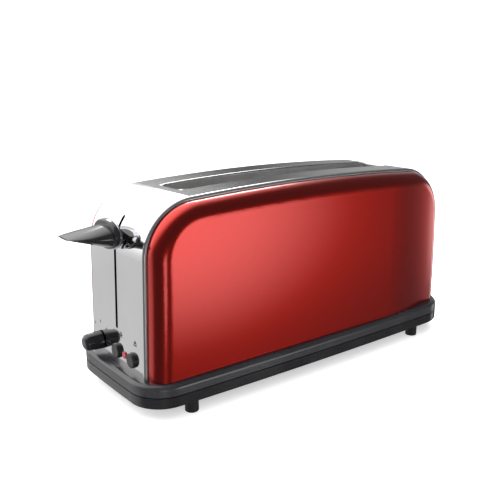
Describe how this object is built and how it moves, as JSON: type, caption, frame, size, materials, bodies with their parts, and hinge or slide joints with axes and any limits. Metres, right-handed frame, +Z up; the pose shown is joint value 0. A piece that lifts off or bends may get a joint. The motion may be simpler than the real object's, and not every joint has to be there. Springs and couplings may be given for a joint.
{
  "type": "pop up toaster",
  "caption": "Long-slot pop-up toaster with a polished steel body, red side panels, a black base, a sprung bread carriage and lever, browning knob, push buttons and crumb tray.",
  "frame": {"origin": "on the surface it stands on, below the centre of its overall length (lever tip to base rear) and width", "axes": "+X from the lever end to the rear end, +Y to the far side (away from the cancel button), +Z up"},
  "size_m": [0.434, 0.1484, 0.1923],
  "materials": {
    "base_plastic": "semi-gloss moulded black",
    "foot_rubber": "matt moulded",
    "polished_steel": "mirror-polished stainless sheet",
    "bright_trim": "bright plated",
    "red_lacquer": "metallic red lacquer, gloss clear coat",
    "plated_sheet": "aluminised sheet",
    "guide_wire": "drawn wire",
    "mica": "mica board",
    "heating_alloy": "oxidised resistance ribbon",
    "plain_steel": "zinc plated",
    "coil_copper": "enamelled winding",
    "board_laminate": "printed board",
    "inner_plastic": "moulded",
    "gloss_black": "polished black",
    "button_black": "satin black",
    "red_lens": "translucent red"
  },
  "bodies": {
    "housing": {"base_tray": "base_plastic", "plinth_ring": "base_plastic", "base_screws": "plain_steel", "foot_front_left": "foot_rubber", "foot_front_right": "foot_rubber", "foot_rear_left": "foot_rubber", "foot_rear_right": "foot_rubber", "steel_band": "polished_steel", "side_panel_left": "red_lacquer", "side_panel_right": "red_lacquer", "front_plate": "plated_sheet", "rear_plate": "plated_sheet", "heat_shield_left": "plated_sheet", "heat_shield_right": "plated_sheet", "element_card_left": "mica", "element_card_right": "mica", "heating_ribbon_left": "heating_alloy", "heating_ribbon_right": "heating_alloy", "guide_rod": "guide_wire", "return_spring": "guide_wire", "magnet_core": "plain_steel", "magnet_coil": "coil_copper", "control_board": "board_laminate", "timer_control": "inner_plastic", "defrost_switch": "inner_plastic", "cancel_switch": "inner_plastic", "lamp": "red_lens", "lamp_lens": "red_lens", "mains_switch": "inner_plastic", "terminal_block": "inner_plastic", "cord_bush": "foot_rubber"},
    "carriage": {"carriage_plate": "plated_sheet", "bread_rack": "plated_sheet", "armature": "plain_steel", "lever_trim": "bright_trim", "lever_boss": "gloss_black", "lever_wing": "gloss_black"},
    "guide_left": {"bread_guide_left": "guide_wire"},
    "guide_right": {"bread_guide_right": "guide_wire"},
    "knob": {"browning_knob": "gloss_black", "knob_shaft": "plain_steel"},
    "defrost": {"defrost_button": "button_black"},
    "cancel": {"cancel_button": "button_black"},
    "crumb_drawer": {"crumb_tray": "plated_sheet", "crumb_handle": "base_plastic"}
  },
  "joints": [
    {"name": "carriage_slide", "type": "slide", "parent": "housing", "child": "carriage", "axis": [0, 0, 1], "range_m": [-0.082, 0.008], "stiffness_N_per_m": 60, "springref_m": 0.02, "deforming": ["return_spring"]},
    {"name": "guide_left_slide", "type": "slide", "parent": "housing", "child": "guide_left", "axis": [0, 1, 0], "range_m": [-0.0008, 0.0071]},
    {"name": "guide_right_slide", "type": "slide", "parent": "housing", "child": "guide_right", "axis": [0, -1, 0], "range_m": [-0.0008, 0.0071]},
    {"name": "browning_turn", "type": "hinge", "parent": "housing", "child": "knob", "pos_m": [-0.182, 0.033, 0.0465], "axis": [-1, 0, 0], "range_deg": [-120, 120]},
    {"name": "defrost_press", "type": "slide", "parent": "housing", "child": "defrost", "axis": [1, 0, 0], "range_m": [0, 0.0015], "stiffness_N_per_m": 400, "springref_m": -0.0015},
    {"name": "cancel_press", "type": "slide", "parent": "housing", "child": "cancel", "axis": [1, 0, 0], "range_m": [0, 0.0015], "stiffness_N_per_m": 400, "springref_m": -0.0015},
    {"name": "crumb_slide", "type": "slide", "parent": "housing", "child": "crumb_drawer", "axis": [1, 0, 0], "range_m": [0, 0.3]}
  ],
  "couplings": [
    {"joint": "guide_left_slide", "follows": "carriage_slide", "ratio": -0.085366},
    {"joint": "guide_right_slide", "follows": "carriage_slide", "ratio": -0.085366}
  ]
}
